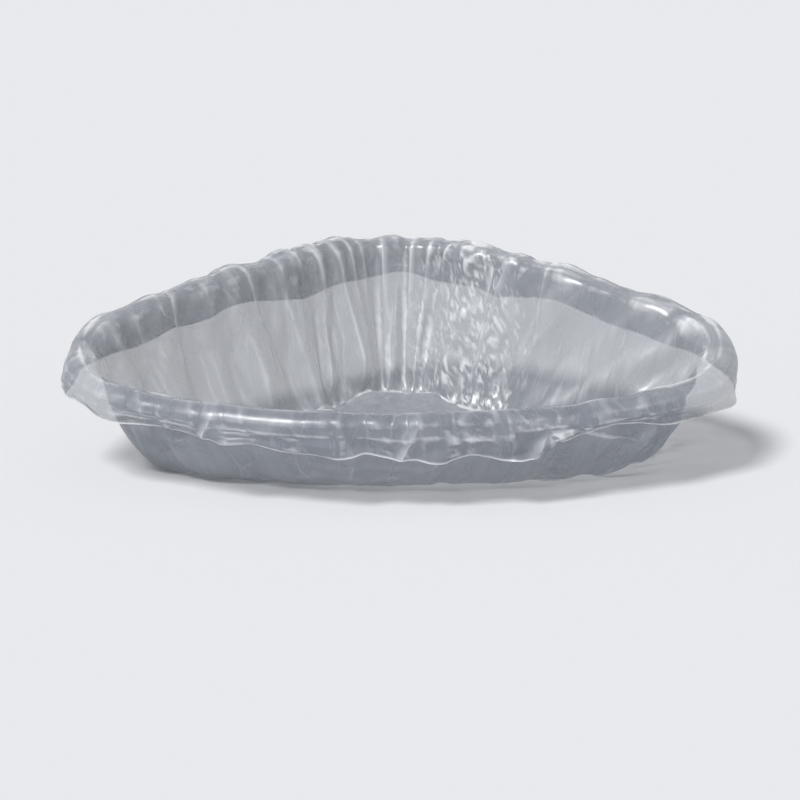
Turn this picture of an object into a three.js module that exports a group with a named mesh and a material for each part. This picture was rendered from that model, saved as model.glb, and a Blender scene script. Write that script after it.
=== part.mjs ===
// A litter tray liner: one bag of thin film, opened out as it lies in a corner litter tray. The floor lies
// flat, the walls stand in loose gathers, and the mouth is turned down over the tray's rim, so that the hem
// hangs outside. Millimetres, +Z up, with the low front towards -Y and the square corner towards +Y.
import * as THREE from "three";

// Thickness of the film's solid
const FILM = 0.6;

// The tray's rim, seen from above: two straight back walls, three round corners and a bowed front
const HALF_WIDTH = 267;
const SIDE_RADIUS = 82;
const BACK_RADIUS = 88;
const FRONT_RADIUS = 420;
const BACK_WALL_ANGLE = Math.PI / 4;

// Height of the rim above the floor
const FRONT_HEIGHT = 76;
const SIDE_HEIGHT = 100;
const BACK_HEIGHT = 143;

// The film's section: it leaves the floor, bridges the foot of the tray's wall, rolls over the rim and
// hangs
const FLOOR_CENTRE_Y = 40;
const FLOOR_INSET = 58;
const FOOT_INSET = 32;
const RIM_RADIUS = 14;
const SKIRT_SLANT = Math.PI / 12;

// How far the hem hangs below the roll over the rim, at places evenly spaced from the middle of the front,
// right side first
const HEM_DROPS = [19, 20, 6, 13, 20, 24, 21, 28, 25, 31, 24, 27, 22, 14, 10, 16];

// Gathers in the film. Their places on the floor's edge, on the rim and on the hem are shares of the way
// round from the middle of the front, right side first. "before" and "after" are the widths of a gather's two
// flanks. The heights are how far it stands off the floor's edge, the tray's wall, the rim and the tray's
// outer face.
const GATHERS = [
  // bowed front, right half, with a slanting fold in the skirt
  { floor: 0.028, rim: 0.03, hem: 0.018, before: 16, after: 26, foot: 1, wall: 3, crest: 1, skirt: 5 },
  { floor: 0.1, rim: 0.108, hem: 0.062, before: 16, after: 24, foot: 1, wall: 4, crest: 2, skirt: 8 },
  { floor: 0.142, rim: 0.15, hem: 0.152, before: 30, after: 18, foot: 2, wall: 6, crest: 1, skirt: 3 },
  // right corner, where broad folds sweep down to the floor
  { floor: 0.172, rim: 0.2, hem: 0.202, before: 26, after: 34, foot: 5, wall: 10, crest: 1, skirt: 5 },
  { floor: 0.21, rim: 0.246, hem: 0.25, before: 40, after: 24, foot: 6, wall: 17, crest: 3, skirt: 4 },
  { floor: 0.258, rim: 0.29, hem: 0.288, before: 42, after: 26, foot: 5, wall: 14, crest: 3, skirt: 6 },
  // right back wall
  { floor: 0.33, rim: 0.332, hem: 0.336, before: 16, after: 20, foot: 2, wall: 5, crest: 1, skirt: 5 },
  { floor: 0.374, rim: 0.362, hem: 0.362, before: 34, after: 18, foot: 2, wall: 9, crest: 3, skirt: 3 },
  { floor: 0.404, rim: 0.4, hem: 0.406, before: 14, after: 22, foot: 2, wall: 6, crest: 1, skirt: 6 },
  { floor: 0.464, rim: 0.436, hem: 0.43, before: 26, after: 40, foot: 6, wall: 15, crest: 3, skirt: 5 },
  // back corner, where the gathers crowd together at the floor
  { floor: 0.488, rim: 0.475, hem: 0.478, before: 18, after: 22, foot: 3, wall: 8, crest: 2, skirt: 6 },
  { floor: 0.504, rim: 0.502, hem: 0.506, before: 16, after: 18, foot: 4, wall: 14, crest: 4, skirt: 4 },
  { floor: 0.524, rim: 0.546, hem: 0.55, before: 30, after: 42, foot: 7, wall: 22, crest: 6, skirt: 7 },
  // left back wall
  { floor: 0.562, rim: 0.572, hem: 0.57, before: 14, after: 16, foot: 3, wall: 11, crest: 5, skirt: 4 },
  { floor: 0.58, rim: 0.591, hem: 0.594, before: 14, after: 26, foot: 3, wall: 9, crest: 5, skirt: 5 },
  { floor: 0.63, rim: 0.642, hem: 0.638, before: 40, after: 20, foot: 3, wall: 12, crest: 4, skirt: 6 },
  { floor: 0.674, rim: 0.668, hem: 0.67, before: 16, after: 18, foot: 1, wall: 6, crest: 2, skirt: 3 },
  { floor: 0.712, rim: 0.704, hem: 0.708, before: 22, after: 30, foot: 3, wall: 9, crest: 3, skirt: 5 },
  // left corner
  { floor: 0.77, rim: 0.742, hem: 0.744, before: 26, after: 42, foot: 6, wall: 17, crest: 3, skirt: 5 },
  { floor: 0.8, rim: 0.79, hem: 0.784, before: 34, after: 20, foot: 4, wall: 11, crest: 2, skirt: 6 },
  // bowed front, left half
  { floor: 0.836, rim: 0.83, hem: 0.836, before: 20, after: 30, foot: 2, wall: 6, crest: 1, skirt: 4 },
  { floor: 0.9, rim: 0.897, hem: 0.904, before: 18, after: 22, foot: 1, wall: 4, crest: 1, skirt: 6 },
  { floor: 0.956, rim: 0.958, hem: 0.968, before: 22, after: 16, foot: 1, wall: 3, crest: 1, skirt: 6 },
];

// Fineness of the film's surface: columns round the rim, and rows along each stretch of the section
const COLUMNS = 144;
const FLOOR_ROWS = 3;
const WALL_ROWS = 8;
const ROLL_ROWS = 5;
const SKIRT_ROWS = 4;

const filmMaterial = new THREE.MeshStandardMaterial({
  color: 0xb9bec6,
  roughness: 0.25,
  metalness: 0,
  transparent: true,
  opacity: 0.45,
  side: THREE.DoubleSide,
});

// The rim's line, from the middle of the front round by the right side
function rimOutline() {
  const sideX = HALF_WIDTH - SIDE_RADIUS;
  const rounding = (SIDE_RADIUS - BACK_RADIUS) / Math.sin(BACK_WALL_ANGLE);
  const backY = sideX / Math.tan(BACK_WALL_ANGLE) + rounding;
  const frontY = Math.sqrt((FRONT_RADIUS - SIDE_RADIUS) ** 2 - sideX ** 2);
  const frontEnd = Math.atan2(-frontY, sideX);
  const outline = new THREE.Path();
  outline.absarc(0, frontY, FRONT_RADIUS, -Math.PI / 2, frontEnd);
  outline.absarc(sideX, 0, SIDE_RADIUS, frontEnd, BACK_WALL_ANGLE);
  outline.absarc(0, backY, BACK_RADIUS, BACK_WALL_ANGLE, Math.PI - BACK_WALL_ANGLE);
  outline.absarc(-sideX, 0, SIDE_RADIUS, Math.PI - BACK_WALL_ANGLE, Math.PI - frontEnd);
  outline.absarc(0, frontY, FRONT_RADIUS, Math.PI - frontEnd, (3 * Math.PI) / 2);
  return outline;
}

// A value at a share of the way round, eased between evenly spaced ones
function around(values, share) {
  const place = share * values.length;
  const before = Math.floor(place);
  const ease = THREE.MathUtils.smoothstep(place - before, 0, 1);
  const next = values[(before + 1) % values.length];
  return THREE.MathUtils.lerp(values[before % values.length], next, ease);
}

// A share of the way that goes quickly at first and levels off
function levelling(way) {
  return way * (2 - way);
}

// The rim rises quickly to either side of the low front, and levels off towards the back corner
function rimHeight(y, frontY, backY) {
  const forward = levelling(THREE.MathUtils.clamp(y / frontY, 0, 1));
  const rearward = levelling(THREE.MathUtils.clamp(y / backY, 0, 1));
  const dip = (SIDE_HEIGHT - FRONT_HEIGHT) * forward;
  const rise = (BACK_HEIGHT - SIDE_HEIGHT) * rearward;
  return SIDE_HEIGHT - dip + rise;
}

// One column of the smooth film, from the floor's middle to the hem
function section(place, outward, height, drop) {
  const at = (direction, distance, z) =>
    new THREE.Vector3(place.x + direction.x * distance, place.y + direction.y * distance, z);
  const middle = new THREE.Vector2(0, FLOOR_CENTRE_Y);
  const inward = middle.clone().sub(place).normalize();
  const floorEdge = at(inward, FLOOR_INSET, FILM);
  const foot = at(inward, FOOT_INSET, FILM);
  const rollZ = height - RIM_RADIUS;
  const lean = Math.atan2(FOOT_INSET - RIM_RADIUS, rollZ);
  const onRoll = (angle) =>
    at(outward, RIM_RADIUS * Math.cos(angle), rollZ + RIM_RADIUS * Math.sin(angle));
  const hem = at(outward, RIM_RADIUS - drop * Math.tan(SKIRT_SLANT), rollZ - drop);
  const bend = at(outward, RIM_RADIUS, rollZ - drop / 2);

  const floor = new THREE.LineCurve3(new THREE.Vector3(middle.x, middle.y, FILM), floorEdge);
  const wall = new THREE.QuadraticBezierCurve3(floorEdge, foot, onRoll(Math.PI - lean));
  const skirt = new THREE.QuadraticBezierCurve3(onRoll(0), bend, hem);
  const points = [];
  for (let row = 0; row < FLOOR_ROWS; row++) points.push(floor.getPoint(levelling(row / FLOOR_ROWS)));
  points.push(...wall.getPoints(WALL_ROWS));
  for (let row = 1; row <= ROLL_ROWS; row++) {
    points.push(onRoll((Math.PI - lean) * (1 - row / ROLL_ROWS)));
  }
  return points.concat(skirt.getPoints(SKIRT_ROWS).slice(1));
}

// How far one gather stands off at a share of the way round and a row
function gatherHeight(gather, share, row, rimLength) {
  const { lerp, smoothstep, euclideanModulo } = THREE.MathUtils;
  const upWall = (row - FLOOR_ROWS) / WALL_ROWS;
  const downSkirt = (row - FLOOR_ROWS - WALL_ROWS - ROLL_ROWS) / SKIRT_ROWS;
  let place = lerp(gather.floor, gather.rim, THREE.MathUtils.clamp(upWall, 0, 1));
  let height = gather.crest;
  if (upWall < 0) height = gather.foot * smoothstep(row, 1, FLOOR_ROWS);
  else if (upWall < 0.5) height = lerp(gather.foot, gather.wall, smoothstep(upWall, 0, 0.5));
  else if (upWall < 1) height = lerp(gather.wall, gather.crest, smoothstep(upWall, 0.5, 1));
  if (downSkirt > 0) {
    place = lerp(gather.rim, gather.hem, downSkirt);
    height = lerp(gather.crest, gather.skirt, downSkirt);
  }
  const past = (euclideanModulo(share - place + 0.5, 1) - 0.5) * rimLength;
  const flank = past < 0 ? gather.before : gather.after;
  return height * Math.cos((Math.PI / 2) * Math.min(1, Math.abs(past) / flank)) ** 2;
}

// Vertex normals of a sheet, pointing to its litter side
function sheetNormals(points, triangles) {
  const sheet = new THREE.BufferGeometry().setFromPoints(points).setIndex(triangles);
  sheet.computeVertexNormals();
  const normals = sheet.getAttribute("normal");
  return points.map((_, i) => new THREE.Vector3().fromBufferAttribute(normals, i));
}

// The film as a sheet: the floor's middle, then the columns row by row, gathered towards the litter side
function filmSheet() {
  const outline = rimOutline();
  const rimLength = outline.getLength();
  const rim = outline.getSpacedPoints(COLUMNS).slice(0, COLUMNS);
  const frontY = Math.min(...rim.map((p) => p.y));
  const backY = Math.max(...rim.map((p) => p.y));
  const columns = rim.map((place, i) => {
    const next = rim[(i + 1) % COLUMNS];
    const along = next.clone().sub(rim[(i + COLUMNS - 1) % COLUMNS]).normalize();
    const outward = new THREE.Vector2(along.y, -along.x);
    const height = rimHeight(place.y, frontY, backY);
    return section(place, outward, height, around(HEM_DROPS, i / COLUMNS));
  });
  const rows = columns[0].length;
  const points = [columns[0][0]];
  for (let row = 1; row < rows; row++) points.push(...columns.map((column) => column[row]));

  const triangles = [];
  const vertex = (row, column) => 1 + (row - 1) * COLUMNS + (column % COLUMNS);
  for (let i = 0; i < COLUMNS; i++) {
    triangles.push(0, vertex(1, i), vertex(1, i + 1));
    for (let row = 1; row < rows - 1; row++) {
      triangles.push(vertex(row, i), vertex(row + 1, i), vertex(row + 1, i + 1));
      triangles.push(vertex(row, i), vertex(row + 1, i + 1), vertex(row, i + 1));
    }
  }
  const smooth = sheetNormals(points, triangles);
  for (let row = 2; row < rows; row++) {
    for (let i = 0; i < COLUMNS; i++) {
      const heights = GATHERS.map((gather) => gatherHeight(gather, i / COLUMNS, row, rimLength));
      points[vertex(row, i)].addScaledVector(smooth[vertex(row, i)], Math.hypot(...heights));
    }
  }
  return { points, triangles, hem: vertex(rows - 1, 0), flat: vertex(2, 0) };
}

// The sheet given its thickness on the tray's side, and closed along the hem
function filmSolid({ points, triangles, hem, flat }) {
  const normals = sheetNormals(points, triangles);
  const up = new THREE.Vector3(0, 0, 1);
  const traySide = points.map((point, i) => {
    const normal = i < flat ? up : normals[i];
    return point.clone().addScaledVector(normal, -FILM);
  });
  const count = points.length;
  const faces = [...triangles];
  for (let i = 0; i < triangles.length; i += 3) {
    faces.push(count + triangles[i], count + triangles[i + 2], count + triangles[i + 1]);
  }
  for (let i = 0; i < COLUMNS; i++) {
    const here = hem + i;
    const next = hem + ((i + 1) % COLUMNS);
    faces.push(next, here, count + here, next, count + here, count + next);
  }
  return new THREE.BufferGeometry().setFromPoints([...points, ...traySide]).setIndex(faces);
}

const liner = new THREE.Mesh(filmSolid(filmSheet()), filmMaterial);
liner.name = "liner";
liner.geometry.computeVertexNormals();
liner.geometry.computeBoundingBox();

// The part's origin is on the floor, under the middle of its outline
const middle = liner.geometry.boundingBox.getCenter(new THREE.Vector3());
liner.position.set(-middle.x, -middle.y, 0);

const part = new THREE.Group();
part.add(liner);

export default part;
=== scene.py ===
"""A film litter tray liner, opened out as it lies in a corner tray, on a pale studio floor."""

import math

import bpy
import numpy as np
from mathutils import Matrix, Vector


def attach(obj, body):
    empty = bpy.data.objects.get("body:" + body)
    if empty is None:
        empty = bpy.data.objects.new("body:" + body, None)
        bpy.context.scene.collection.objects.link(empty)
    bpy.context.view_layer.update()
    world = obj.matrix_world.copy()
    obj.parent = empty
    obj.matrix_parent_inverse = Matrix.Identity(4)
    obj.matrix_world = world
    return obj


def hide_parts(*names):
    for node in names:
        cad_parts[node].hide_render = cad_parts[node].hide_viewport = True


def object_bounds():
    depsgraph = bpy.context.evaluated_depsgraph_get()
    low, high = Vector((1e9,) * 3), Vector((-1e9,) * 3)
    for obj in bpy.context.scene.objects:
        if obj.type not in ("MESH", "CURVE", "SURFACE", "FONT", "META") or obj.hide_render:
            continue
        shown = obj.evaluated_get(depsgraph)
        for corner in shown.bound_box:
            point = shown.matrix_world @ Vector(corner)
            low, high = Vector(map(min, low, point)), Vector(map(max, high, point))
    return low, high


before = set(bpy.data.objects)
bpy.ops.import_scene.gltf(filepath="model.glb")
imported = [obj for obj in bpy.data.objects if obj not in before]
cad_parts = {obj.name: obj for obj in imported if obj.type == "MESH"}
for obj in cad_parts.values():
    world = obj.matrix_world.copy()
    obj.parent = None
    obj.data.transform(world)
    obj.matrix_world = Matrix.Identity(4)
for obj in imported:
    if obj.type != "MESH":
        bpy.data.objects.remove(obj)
CAD_LO, CAD_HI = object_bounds()
SIZE = CAD_HI - CAD_LO

MM = 0.001
SEED = 11
TINY = 1e-9
FAR = 1e3  # millimetres: well away from a hem or a crest
WELD = 0.01 * MM  # vertices nearer to each other than this are one
HEM_STRIP = 1.0 * MM  # the CAD film's edge is narrower than this, and its other faces aren't

# The film's mesh
COLUMN_SPLITS = 4  # columns to each of the CAD film's
STEP = 2.5  # millimetres from one row to the next
FLOOR_STEP = 5  # millimetres from one ring of the floor's middle to the next

# Stretches of the film, in rows from the rim's top
RIM_ROWS = 9.0
SKIRT_FROM = 6
SKIRT_BLEND = 8.0
HEM_FROM = 7

# The hem's waves, as shares of the skirt's length
HEM_WAVE = 0.05
HEM_WAVE_LIMIT = 0.2
HEM_EDGE_ROWS = 6  # rows by the hem, where the film's end would be taken for a crease

# The floor is where the film's normal points up by more than this, with a blend into the wall
FLOOR_FROM = 0.8
FLOOR_BLEND = 0.15

# Folds and pleats. Each has its place at the rim and at the wall's foot, as shares of the way round from the
# middle of the front by the right side, then where it starts and ends, as shares of the way up the wall, and
# last its width and height in millimetres.
FOLDS = [
    # right corner, sweeping down towards the back
    (0.236, 0.35, 0.0, 1.0, 30, 9.0),
    (0.206, 0.29, 0.1, 0.95, 22, 6.0),
    (0.186, 0.245, 0.1, 0.9, 16, 4.5),
    (0.28, 0.375, 0.2, 1.0, 22, 4.0),
    # right back wall
    (0.345, 0.41, 0.1, 0.9, 20, 4.0),
    # left back wall
    (0.62, 0.585, 0.0, 0.9, 24, 4.0),
    (0.668, 0.64, 0.1, 0.9, 20, 3.5),
    # left corner
    (0.754, 0.72, 0.1, 0.95, 26, 6.0),
    (0.79, 0.745, 0.1, 0.95, 24, 5.0),
]
PLEATS = [
    # right wall
    (0.331, 0.4, 0.15, 0.8, 12, 2.4),
    (0.372, 0.36, 0.5, 1.1, 9, 2.0),
    (0.398, 0.432, 0.25, 1.1, 10, 2.4),
    # back corner
    (0.452, 0.476, 0.05, 1.1, 12, 3.2),
    (0.47, 0.484, 0.1, 1.15, 9, 3.0),
    (0.486, 0.491, 0.0, 1.1, 12, 2.6),
    (0.51, 0.507, 0.0, 1.15, 15, 3.0),
    (0.53, 0.515, 0.0, 1.2, 10, 3.4),
    (0.543, 0.522, 0.0, 1.15, 9, 3.0),
    (0.556, 0.534, 0.1, 1.2, 10, 3.2),
    # left back wall
    (0.574, 0.55, 0.0, 1.15, 10, 3.2),
    (0.588, 0.574, 0.05, 1.1, 9, 2.8),
    (0.605, 0.59, 0.35, 1.15, 8, 2.4),
    (0.634, 0.616, 0.3, 1.1, 10, 2.6),
    (0.69, 0.702, 0.35, 1.1, 8, 2.2),
    (0.724, 0.714, 0.2, 0.9, 9, 2.2),
    # front skirt, with its slanting fold
    (0.09, 0.15, 1.25, 1.9, 9, 3.0),
    (0.012, 0.05, 1.2, 1.9, 8, 2.2),
    (0.962, 0.93, 1.2, 1.9, 8, 2.2),
    (0.9, 0.925, 1.15, 1.8, 9, 2.2),
]
FOLD_ENDS = 0.3  # share of the wall's height over which a fold or pleat fades out
FULL_FOLD = 6.0  # millimetres: a fold of this height gets its painted highlight in full
LIT_SIDE = 0.9  # share of a fold's width that gets a painted highlight on its lit side
LIT_CURVE = 1.5
SHADED_SIDE = 0.35  # and on its other side
PLEAT_CURVE = 1.6
STEEP_SIDE = 0.5  # a pleat's steep side, as a share of its other side
CREST_REACH = 4  # millimetres: a pleat's crest is at its sharpest this near to it, and gone at twice that

# Where the film is crumpled: places round the rim, how far each patch spreads, and how crumpled it is
CRUMPLED = [(0.425, 0.045, 1.0), (0.6, 0.05, 0.3)]
PYRAMID_REACH = 2.2  # a pyramid counts for points within this many of its lengths
PYRAMID_UNEVEN = 0.25  # how far a pyramid's faces stray from an even turn

# The film's finish: flat, and where it is whiter, at the hem, at creases, and where a highlight is painted on
# pleat crests and folds
FLAT_COLOUR = (0.2, 0.222, 0.262, 1)
CREASE_AND_HIGHLIGHT_COLOUR = (0.85, 0.86, 0.88, 1)
FLAT_ALPHA = 0.6
CREASE_AND_HIGHLIGHT_ALPHA = 0.9
FILM_IOR = 1.6
FILM_GLOSS = 0.7

# The studio
FLOOR_COLOUR = (0.86, 0.865, 0.87, 1)
FLOOR_REACH = 40.0 * SIZE.x
FLOOR_GAP = 0.5 * MM
FLOOR_ROUGHNESS = 0.7
LAMP_AIM = Vector((0, 0, 0.4 * SIZE.z))
SKY_COLOUR = (0.9, 0.93, 1.0, 1)
SKY_STRENGTH = 0.32
PALE_COLOUR = (0.97, 0.98, 1.0, 1)
PALE_STRENGTH = 0.82
FILM_LAYERS = 48  # layers of film that a ray may pass through

# The photograph's camera: a long lens, a little above the rim
LENS = 88
SENSOR = 36
AZIMUTH = math.radians(-1.0)
ELEVATION = math.radians(14.5)
CAMERA_AIM = Vector((0, -0.055 * SIZE.y, 0.27 * SIZE.z))
CAMERA_DISTANCE = 3.0 * SIZE.x

rng = np.random.default_rng(SEED)
scene = bpy.context.scene


# The film's surface, read from the CAD node


def welded(node):
    """The node's vertices, with those that coincide made one, and its triangles."""
    mesh = node.data
    mesh.calc_loop_triangles()
    co = np.empty(len(mesh.vertices) * 3)
    mesh.vertices.foreach_get("co", co)
    co = co.reshape(-1, 3)
    tri = np.empty(len(mesh.loop_triangles) * 3, dtype=np.int32)
    mesh.loop_triangles.foreach_get("vertices", tri)
    cell = np.round(co / WELD).astype(np.int64)
    _, index, back = np.unique(cell, axis=0, return_index=True, return_inverse=True)
    return co[index], back.reshape(-1)[tri].reshape(-1, 3)


def litter_side(co, tri):
    """The triangles of the film's litter side: the hem's strip parts it from the tray side."""
    edge = np.linalg.norm(co[tri] - co[np.roll(tri, -1, axis=1)], axis=2)
    tri = tri[edge.min(axis=1) > HEM_STRIP]
    group = np.arange(len(co))
    while True:
        low = group[tri].min(axis=1)
        new = group.copy()
        np.minimum.at(new, tri.ravel(), np.repeat(low, 3))
        new = new[new]
        if np.array_equal(new, group):
            break
        group = new
    sides = [tri[group[tri[:, 0]] == g] for g in np.unique(group[tri[:, 0]])]
    return max(sides, key=lambda t: co[t.ravel(), 2].min())


def film_rows(co, tri):
    """The litter side as rings of vertices, from the hem in to the floor, all with the same columns."""
    beside = {}
    count = {}
    for t in tri.tolist():
        for a, b in ((t[0], t[1]), (t[1], t[2]), (t[2], t[0])):
            beside.setdefault(a, set()).add(b)
            beside.setdefault(b, set()).add(a)
            edge = (min(a, b), max(a, b))
            count[edge] = count.get(edge, 0) + 1
    onward = {}
    for a, b in (edge for edge, faces in count.items() if faces == 1):
        onward.setdefault(a, []).append(b)
        onward.setdefault(b, []).append(a)
    first = min(onward)
    ring = [first, onward[first][0]]
    while True:
        following = [v for v in onward[ring[-1]] if v != ring[-2]][0]
        if following == first:
            break
        ring.append(following)
    x, y = co[ring, 0], co[ring, 1]
    if (x * np.roll(y, -1) - y * np.roll(x, -1)).sum() < 0:
        ring.reverse()
    rings = [ring]
    used = set(ring)
    while True:
        inner = []
        for a, b in zip(ring, ring[1:] + ring[:1]):
            shared = (beside[a] & beside[b]) - used
            if len(shared) != 1:
                return rings
            inner.append(shared.pop())
        if len(set(inner)) < len(inner):
            return rings
        used.update(inner)
        rings.append(inner)
        ring = inner


def smooth_between(grid, places, axis, around):
    """Values of a grid at fractional places along an axis, on a curve through its points."""
    count = grid.shape[axis]
    base = np.floor(places).astype(int)
    t = (places - base).reshape([-1 if k == axis else 1 for k in range(grid.ndim)])
    picks = [base + k for k in (-1, 0, 1, 2)]
    picks = [p % count if around else np.clip(p, 0, count - 1) for p in picks]
    a, b, c, d = (np.take(grid, p, axis=axis) for p in picks)
    return b + 0.5 * t * (c - a + t * (2 * a - 5 * b + 4 * c - d + t * (3 * (b - c) + d - a)))


def finer(grid, splits, step):
    """The grid with each column split, and its rows spaced evenly along the film."""
    grid = smooth_between(grid, np.arange(grid.shape[1] * splits) / splits, 1, True)
    length = np.linalg.norm(np.diff(grid, axis=0), axis=2).mean(axis=1)
    along = np.concatenate([[0], np.cumsum(length)])
    rows = int(round(along[-1] / step)) + 1
    places = np.interp(np.linspace(0, along[-1], rows), along, np.arange(len(along)))
    return smooth_between(grid, np.minimum(places, len(along) - 1 - TINY), 0, False)


# Fields on the film


def surface_normals(x):
    """Unit normals of a grid that closes on itself along its columns, towards the litter side."""
    down = np.gradient(x, axis=0)
    across = np.roll(x, -1, axis=1) - np.roll(x, 1, axis=1)
    n = np.cross(down, across)
    return n / np.maximum(np.linalg.norm(n, axis=2, keepdims=True), TINY)


def blurred(x, times):
    """A field on the grid, evened out with its neighbours."""
    for _ in range(times):
        up = np.concatenate([x[:1], x[:-1]], axis=0)
        down = np.concatenate([x[1:], x[-1:]], axis=0)
        x = 0.4 * x + 0.15 * (up + down + np.roll(x, 1, axis=1) + np.roll(x, -1, axis=1))
    return x


def noise(rows, cols, across, down):
    """A seeded smooth field of unit spread, whose patches are so many columns and rows across."""
    tall = 2 * rows
    f = np.fft.rfft2(rng.standard_normal((tall, cols)))
    ky = np.fft.fftfreq(tall)[:, None]
    kx = np.fft.rfftfreq(cols)[None]
    f *= np.exp(-2 * (np.pi**2) * ((kx * across) ** 2 + (ky * down) ** 2))
    f = np.fft.irfft2(f, s=(tall, cols))[:rows]
    return f / f.std()


def lowest_pyramid(across, along, face):
    """The lowest of some pyramids, from how far off each one is and which ways its faces look."""
    slope = [across * np.cos(face[:, k]) + along * np.sin(face[:, k]) for k in range(face.shape[1])]
    return np.max(slope, axis=0).min(axis=1)


def half_turn(share):
    """A difference of places round the rim, the short way."""
    return (share + 0.5) % 1 - 0.5


co, tri = welded(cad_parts["liner"])
CAD_FILM = co[np.array(film_rows(co, litter_side(co, tri))[::-1])]
MIDDLE = CAD_FILM[0].mean(axis=0)
BASE = finer(CAD_FILM, COLUMN_SPLITS, STEP * MM)
ROWS, COLS = BASE.shape[:2]
row = np.arange(ROWS)[:, None]
rim_row = int(np.argmax(BASE[..., 2].mean(axis=1)))

# the hem is cut a little unevenly
turn = rim_row + HEM_FROM
wave = HEM_WAVE * noise(1, COLS, across=16, down=1) + HEM_WAVE * noise(1, COLS, across=5, down=1)
drop = 1 + np.clip(wave, -HEM_WAVE_LIMIT, HEM_WAVE_LIMIT)
BASE[turn:] = BASE[turn] + (BASE[turn:] - BASE[turn]) * drop[..., None]

normal = surface_normals(BASE)
on_floor = np.clip((normal[..., 2] - FLOOR_FROM) / FLOOR_BLEND, 0, 1) * (row < rim_row)
on_rim = np.clip(1 - np.abs(row - rim_row) / RIM_ROWS, 0, 1)
on_skirt = np.clip((row - rim_row - SKIRT_FROM) / SKIRT_BLEND, 0, 1)
foot_row = int(np.argmax(on_floor.mean(axis=1) < 0.5))

# Places on the film: the share of the way round the rim from the middle of the front, going by the right side,
# and the share of the way up the wall from its foot to the rim
spacing = np.linalg.norm(np.roll(BASE[rim_row], -1, axis=0) - BASE[rim_row], axis=1)
ROUND = spacing.sum() / MM
WALL = (rim_row - foot_row) * STEP
round_at = np.concatenate([[0], np.cumsum(spacing)[:-1]]) / spacing.sum()
front = int(np.argmin(BASE[rim_row, :, 1] + np.abs(BASE[rim_row, :, 0])))
round_at = ((round_at - round_at[front]) % 1)[None]
up_at = (row - foot_row) / (rim_row - foot_row)


# Creases


def about(place, spread):
    """One at a place round the rim, falling off to both sides."""
    return np.exp(-((half_turn(round_at - place) / spread) ** 2))


def facets(across, along, lean, sides=4):
    """Flat facets with sharp edges, as in crumpled film: each point takes the lowest of the pyramids near it.
    A pyramid is so many millimetres across and along, and leans so many millimetres across to one along."""
    tall = ROWS * STEP
    count = int(ROUND * (tall + 2 * along) / (across * along))
    centre_u = rng.uniform(0, ROUND, count)
    centre_v = rng.uniform(-along, tall + along, count)
    turned = rng.uniform(0, 2 * np.pi, count)
    uneven = rng.uniform(-PYRAMID_UNEVEN, PYRAMID_UNEVEN, (count, sides))
    face = turned[:, None] + 2 * np.pi * (np.arange(sides) + uneven) / sides
    out = np.empty((ROWS, COLS))
    for r in range(ROWS):
        near = np.abs(centre_v - r * STEP) < PYRAMID_REACH * along
        dv = (r * STEP - centre_v[near]) / along
        du = round_at[0][:, None] * ROUND - centre_u[near] - lean * dv * along
        du = ((du + ROUND / 2) % ROUND - ROUND / 2) / across
        out[r] = lowest_pyramid(du, dv, face[near])
    out = out / out.std()
    return out - out.mean()


def floor_creases(size, sides):
    """Flat facets with sharp edges over the floor, so many millimetres across."""
    reach = np.abs(FILM[..., :2]).max() / MM
    count = int((2 * reach / size) ** 2)
    centre = rng.uniform(-reach, reach, (count, 2))
    face = rng.uniform(0, 2 * np.pi, (count, 1)) + 2 * np.pi * np.arange(sides) / sides
    out = np.zeros(FILM.shape[:2])
    for r in np.nonzero(flat.max(axis=1) > 0)[0]:
        off = (FILM[r, :, None, :2] / MM - centre) / size
        out[r] = lowest_pyramid(off[..., 0], off[..., 1], face)
    return out


def from_line(rim, foot):
    """Millimetres from a line that runs from a place at the foot to a place at the rim."""
    there = foot + (rim - foot) * up_at
    return half_turn(round_at - there) * ROUND * math.cos(math.atan2((rim - foot) * ROUND, WALL))


def stretch(low, high):
    """One between two heights on the wall, and nothing well outside them."""
    start = np.clip((up_at - low) / FOLD_ENDS + 0.5, 0, 1)
    end = np.clip((high - up_at) / FOLD_ENDS + 0.5, 0, 1)
    return start * end


def lopsided(off, left, curve, right):
    """One on a line, falling off over one width to its left, on a curve, and over another to its right."""
    return np.where(off < 0, np.clip(1 + off / left, 0, 1) ** curve, np.clip(1 - off / right, 0, 1))


height = np.zeros((ROWS, COLS))
fold_highlight = np.zeros((ROWS, COLS))
for rim, foot, low, high, width, rise in FOLDS:
    off = np.clip(from_line(rim, foot) / width, -1, 1)
    height += rise * stretch(low, high) * np.cos(off * math.pi / 2) ** 2
    # a painted highlight on the lit side of the fold, fading out over its shaded side
    lit = lopsided(off, LIT_SIDE, LIT_CURVE, SHADED_SIDE)
    fold_highlight = np.maximum(fold_highlight, lit * stretch(low, high) * min(rise / FULL_FOLD, 1.0))

# a pleat leans over, so it is steeper on one side, and it is lower on the rim
from_crest = np.full((ROWS, COLS), FAR)
sharp = np.zeros((ROWS, COLS))
for rim, foot, low, high, width, rise in PLEATS:
    off = from_line(rim, foot)
    leaning = lopsided(off, width, PLEAT_CURVE, STEEP_SIDE * width)
    height += rise * stretch(low, high) * leaning * (1 - 0.5 * on_rim)
    closer = np.abs(off) < np.abs(from_crest)
    from_crest = np.where(closer, off, from_crest)
    sharp = np.where(closer, stretch(low, high) * np.clip(2 - np.abs(off) / CREST_REACH, 0, 1), sharp)
height = blurred(height[..., None], 2)[..., 0]
# a crest shows more in one stretch than in another, and least on the rim, where the film is drawn tight
sharp *= np.clip(0.8 + 0.4 * noise(ROWS, COLS, across=8, down=9), 0.25, 1) * (1 - 0.6 * on_rim)

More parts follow.
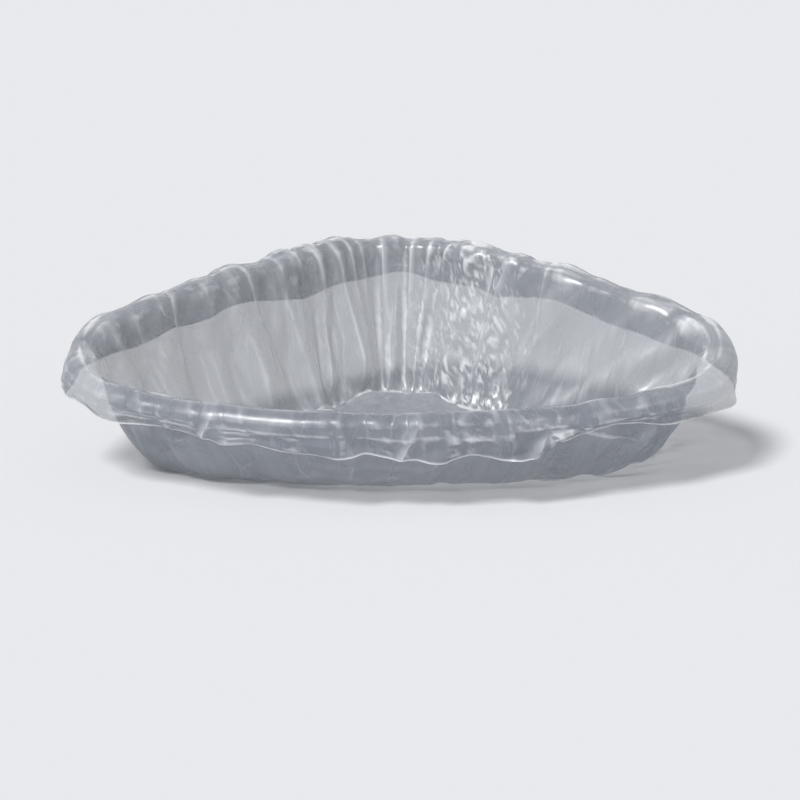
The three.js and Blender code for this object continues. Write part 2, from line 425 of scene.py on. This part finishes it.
# crumpled film, with long facets all round, short ones where it is crumpled, and flat ones along the skirt
crumpled = 0.05 + 0.2 * noise(ROWS, COLS, across=24, down=18)
for place, spread, amount in CRUMPLED:
    crumpled = crumpled + amount * about(place, spread)
crumpled = np.clip(crumpled, 0.0, 1.2)
height += (1.3 - 0.8 * on_rim) * facets(across=38, along=110, lean=0.2)
height += (0.15 + 1.2 * crumpled) * (1 - 0.8 * on_rim) * facets(across=19, along=40, lean=-0.5)
height += 0.85 * crumpled * (1 - 0.9 * on_rim) * facets(across=12, along=17, lean=0.3, sides=3)
height += on_skirt * facets(across=70, along=9, lean=0.0, sides=3)
height *= 1 - on_floor
FILM = BASE + normal * (height[..., None] * MM)

# the floor's middle: the innermost ring drawn in to a point, and low creases all over the floor
spokes = int(np.linalg.norm(FILM[0] - MIDDLE, axis=1).mean() / (FLOOR_STEP * MM))
inner = np.array([MIDDLE + (FILM[0] - MIDDLE) * (k / spokes) for k in range(1, spokes)])
FILM = np.concatenate([inner, FILM], axis=0)
flat = np.concatenate([np.ones(inner.shape[:2]), on_floor], axis=0)
raised = flat * (2.6 * floor_creases(size=48, sides=4) + 1.2 * floor_creases(size=21, sides=3))
FILM[..., 2] += (raised - (raised * flat).sum() / flat.sum() * flat) * MM
FILM[..., 2] = np.maximum(FILM[..., 2], CAD_LO.z)


# The film's mesh, and what its finish reads from it


def sheet_mesh(name, x):
    """A grid that closes on itself along its columns as an object, with its middle closed by a fan."""
    rows, cols = x.shape[:2]
    verts = np.concatenate([MIDDLE[None], x.reshape(-1, 3)])
    r, c = np.meshgrid(np.arange(rows - 1), np.arange(cols), indexing="ij")
    n = (c + 1) % cols
    corners = [(r, c), (r + 1, c), (r + 1, n), (r, n)]
    quads = np.stack([1 + down * cols + across for down, across in corners], axis=-1)
    fan = [(0, 1 + c, 1 + (c + 1) % cols) for c in range(cols)]
    mesh = bpy.data.meshes.new(name)
    mesh.from_pydata(verts.tolist(), [], fan + quads.reshape(-1, 4).tolist())
    mesh.polygons.foreach_set("use_smooth", np.ones(len(mesh.polygons), dtype=bool))
    mesh.update()
    obj = bpy.data.objects.new(name, mesh)
    scene.collection.objects.link(obj)
    return obj


def store(name, middle, values):
    """A number for each point of the film, with the middle's first."""
    data = film.data.attributes.new(name, "FLOAT", "POINT").data
    data.foreach_set("value", np.concatenate([[middle], values.ravel()]).astype(np.float32))


film = sheet_mesh("liner_film", FILM)

# how near each point is to the hem, in millimetres
to_hem = np.cumsum(np.linalg.norm(np.diff(FILM[::-1], axis=0), axis=2), axis=0)[::-1]
to_hem = np.concatenate([to_hem, np.zeros((1, COLS))], axis=0) / MM
store("to_hem", FAR, to_hem)

# how sharply the film is creased, in millimetres off the film about it, leaving out the hem's own edge
crease = (FILM - blurred(FILM, 3)) * surface_normals(blurred(FILM, 6))
crease = np.abs(crease.sum(axis=2)) / MM
crease[-HEM_EDGE_ROWS:] = np.minimum(crease[-HEM_EDGE_ROWS:], crease[-HEM_EDGE_ROWS - 1])
store("crease", 0, crease)

# how far each point is from the nearest pleat's crest, to either side, how sharp that pleat is there, and how
# much painted highlight it gets from a broad fold's lit side
for name, values in (("from_crest", from_crest), ("sharp", sharp), ("fold_highlight", fold_highlight)):
    store(name, 0, np.concatenate([np.zeros(inner.shape[:2]), values], axis=0))

# the film laid round a drum, and its floor laid flat, in millimetres, for what is finer than the mesh
angle = 2 * np.pi * np.broadcast_to(round_at, FILM.shape[:2])
drum = ROUND / (2 * np.pi)
laid = np.stack([np.cos(angle) * drum, np.sin(angle) * drum, -to_hem], axis=-1)
laid += (FILM / MM - laid) * flat[..., None]
places = film.data.attributes.new("laid", "FLOAT_VECTOR", "POINT").data
places.foreach_set("vector", np.concatenate([MIDDLE / MM, laid.ravel()]).astype(np.float32))

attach(film, "root")
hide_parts("liner")


# Finish


def node(tree, kind, **values):
    """A new node, with its settings in small letters and its sockets with a capital."""
    n = tree.nodes.new(kind)
    for key, value in values.items():
        if key[0].islower():
            setattr(n, key, value)
        else:
            n.inputs[key.replace("_", " ")].default_value = value
    return n


def film_material():
    """Hazy film: the hem, sharp creases, folds and crinkles are whiter and less clear than flat film. On pleat
    crests and the lit sides of folds this is a painted highlight, and at creases and crinkles it is partly
    creased film and partly a painted highlight.
    """
    material = bpy.data.materials.new("film")
    material.use_nodes = True
    tree = material.node_tree
    link = tree.links.new
    shader = tree.nodes["Principled BSDF"]
    shader.inputs["IOR"].default_value = FILM_IOR
    shader.inputs["Specular IOR Level"].default_value = FILM_GLOSS

    def attribute(name, output="Fac"):
        return node(tree, "ShaderNodeAttribute", attribute_name=name).outputs[output]

    def ranged(value, low, high, start, end):
        n = node(tree, "ShaderNodeMapRange", From_Min=low, From_Max=high, To_Min=start, To_Max=end)
        link(value, n.inputs["Value"])
        return n.outputs["Result"]

    def combined(operation, a, b):
        n = node(tree, "ShaderNodeMath", operation=operation)
        for k, value in enumerate((a, b)):
            if isinstance(value, float):
                n.inputs[k].default_value = value
            else:
                link(value, n.inputs[k])
        return n.outputs["Value"]

    def texture(kind, across, along, output, **values):
        """A texture on the laid-out film, so many millimetres across and along."""
        scale = (1 / across, 1 / across, 1 / along)
        mapping = node(tree, "ShaderNodeMapping", Scale=scale)
        link(attribute("laid", "Vector"), mapping.inputs["Vector"])
        n = node(tree, kind, Scale=1.0, **values)
        link(mapping.outputs["Vector"], n.inputs["Vector"])
        return n.outputs[output]

    # crinkles finer than the mesh, in patches, and the haze of the film
    edges = texture("ShaderNodeTexVoronoi", 16, 40, "Distance", feature="DISTANCE_TO_EDGE")
    patches = texture("ShaderNodeTexNoise", 40, 60, "Fac", Detail=3.0)
    haze = texture("ShaderNodeTexNoise", 14, 70, "Fac", Detail=4.0)
    streaks = texture("ShaderNodeTexNoise", 7, 60, "Fac", Detail=3.0)
    crinkles = ranged(edges, 0.0, 0.05, 1.0, 0.0)
    crinkles = combined("MULTIPLY", crinkles, ranged(patches, 0.5, 0.7, 0.0, 1.0))

    # a pleat's crest is a thin line, with a soft slope on the side that it leans from: a painted highlight in
    # the colour, and a ridge in the bump
    beside = attribute("from_crest")
    crest = ranged(combined("ABSOLUTE", beside, 0.0), 0.2, 2.0, 0.9, 0.0)
    slope = combined("MULTIPLY", ranged(beside, -8.0, 0.0, 0.0, 0.75), ranged(beside, 0.0, 1.5, 1.0, 0.0))
    crest = combined("MULTIPLY", combined("MAXIMUM", crest, slope), attribute("sharp"))
    # a painted highlight on the lit side of each broad fold, broken into streaks
    fold_highlights = combined("MULTIPLY", attribute("fold_highlight"), ranged(streaks, 0.3, 0.65, 0.15, 0.6))

    # whiter and less clear: the rolled hem; creases and crinkle edges, partly as creased film whitens and
    # partly as a painted highlight; painted highlights on pleat crests and fold sides; and haze at random
    white = ranged(attribute("to_hem"), 0.4, 2.2, 0.9, 0.0)
    creases = ranged(attribute("crease"), 0.16, 0.6, 0.0, 0.8)
    for other in (creases, crest, fold_highlights, combined("MULTIPLY", crinkles, 0.22)):
        white = combined("MAXIMUM", white, other)
    white = combined("ADD", white, ranged(haze, 0.35, 0.75, 0.0, 0.12))
    colour = node(tree, "ShaderNodeMix", data_type="RGBA")
    colour.inputs["A"].default_value = FLAT_COLOUR
    colour.inputs["B"].default_value = CREASE_AND_HIGHLIGHT_COLOUR
    link(white, colour.inputs["Factor"])
    link(colour.outputs["Result"], shader.inputs["Base Color"])
    link(ranged(white, 0.0, 1.0, FLAT_ALPHA, CREASE_AND_HIGHLIGHT_ALPHA), shader.inputs["Alpha"])
    link(ranged(haze, 0.3, 0.7, 0.22, 0.36), shader.inputs["Roughness"])
    bump = node(tree, "ShaderNodeBump", Strength=0.4, Distance=0.5 * MM)
    relief = combined("ADD", combined("MULTIPLY", crest, 1.5), combined("ADD", crinkles, haze))
    link(relief, bump.inputs["Height"])
    link(bump.outputs["Normal"], shader.inputs["Normal"])
    return material


film.data.materials.append(film_material())


# Studio


def floor_material():
    """A plain pale floor without gloss."""
    material = bpy.data.materials.new("floor")
    material.use_nodes = True
    shader = material.node_tree.nodes["Principled BSDF"]
    shader.inputs["Base Color"].default_value = FLOOR_COLOUR
    shader.inputs["Roughness"].default_value = FLOOR_ROUGHNESS
    shader.inputs["Specular IOR Level"].default_value = 0
    return material


def floor_plane():
    """A wide floor just under the film."""
    corners = [(x * FLOOR_REACH, y * FLOOR_REACH, 0) for x, y in ((-1, -1), (1, -1), (1, 1), (-1, 1))]
    mesh = bpy.data.meshes.new("floor")
    mesh.from_pydata(corners, [], [(0, 1, 2, 3)])
    mesh.materials.append(floor_material())
    obj = bpy.data.objects.new("floor", mesh)
    obj.location.z = -FLOOR_GAP
    scene.collection.objects.link(obj)
    return obj


def facing(direction):
    """The turn of a lamp that shines along a direction."""
    return direction.to_track_quat("-Z", "Y").to_euler()


def sun_lamp(direction, strength, width):
    """A soft sun, so many degrees wide."""
    obj = bpy.data.objects.new("sun", bpy.data.lights.new("sun", "SUN"))
    obj.data.energy = strength
    obj.data.angle = math.radians(width)
    obj.rotation_euler = facing(Vector(direction))
    scene.collection.objects.link(obj)


def softbox(name, place, width, height, power):
    """A lamp for gloss only, so that the floor keeps an even tone. Lengths are shares of the film's width."""
    data = bpy.data.lights.new(name, "AREA")
    data.shape = "RECTANGLE"
    data.size = width * SIZE.x
    data.size_y = height * SIZE.x
    data.energy = power
    obj = bpy.data.objects.new(name, data)
    obj.location = Vector(place) * SIZE.x
    obj.rotation_euler = facing(LAMP_AIM - obj.location)
    obj.visible_diffuse = False
    scene.collection.objects.link(obj)


def studio_world():
    """Soft light all round. What the camera and the gloss see behind the floor is as pale as the floor."""
    world = bpy.data.worlds.new("studio")
    world.use_nodes = True
    tree = world.node_tree
    link = tree.links.new
    sky = tree.nodes["Background"]
    sky.inputs["Color"].default_value = SKY_COLOUR
    sky.inputs["Strength"].default_value = SKY_STRENGTH
    pale = node(tree, "ShaderNodeBackground", Color=PALE_COLOUR, Strength=PALE_STRENGTH)
    path = node(tree, "ShaderNodeLightPath")
    seen = path.outputs["Is Camera Ray"]
    for ray in ("Is Glossy Ray", "Is Transmission Ray"):
        either = node(tree, "ShaderNodeMath", operation="MAXIMUM")
        link(seen, either.inputs[0])
        link(path.outputs[ray], either.inputs[1])
        seen = either.outputs["Value"]
    choice = node(tree, "ShaderNodeMixShader")
    link(seen, choice.inputs["Fac"])
    link(sky.outputs["Background"], choice.inputs[1])
    link(pale.outputs["Background"], choice.inputs[2])
    link(choice.outputs["Shader"], tree.nodes["World Output"].inputs["Surface"])
    return world


floor = floor_plane()
sun_lamp(direction=(0.5, 0.5, -1), strength=2.5, width=18)
softbox("left softbox", place=(-1.5, -2.2, 1.5), width=0.5, height=1.8, power=4)
softbox("right softbox", place=(1.9, -1.8, 1.4), width=0.5, height=1.8, power=3)
softbox("back softbox", place=(-0.4, 2.2, 1.6), width=2.2, height=0.5, power=3)
scene.world = studio_world()
scene.view_settings.view_transform = "Standard"
scene.cycles.transparent_max_bounces = FILM_LAYERS

# Camera
cam = bpy.data.objects.new("camera", bpy.data.cameras.new("camera"))
scene.collection.objects.link(cam)
scene.camera = cam
cam.data.lens = LENS
cam.data.sensor_width = SENSOR
level = math.cos(ELEVATION)
back = Vector((math.sin(AZIMUTH) * level, -math.cos(AZIMUTH) * level, math.sin(ELEVATION)))
cam.location = CAMERA_AIM + back * CAMERA_DISTANCE
cam.rotation_mode = "QUATERNION"
cam.rotation_quaternion = (-back).to_track_quat("-Z", "Y")
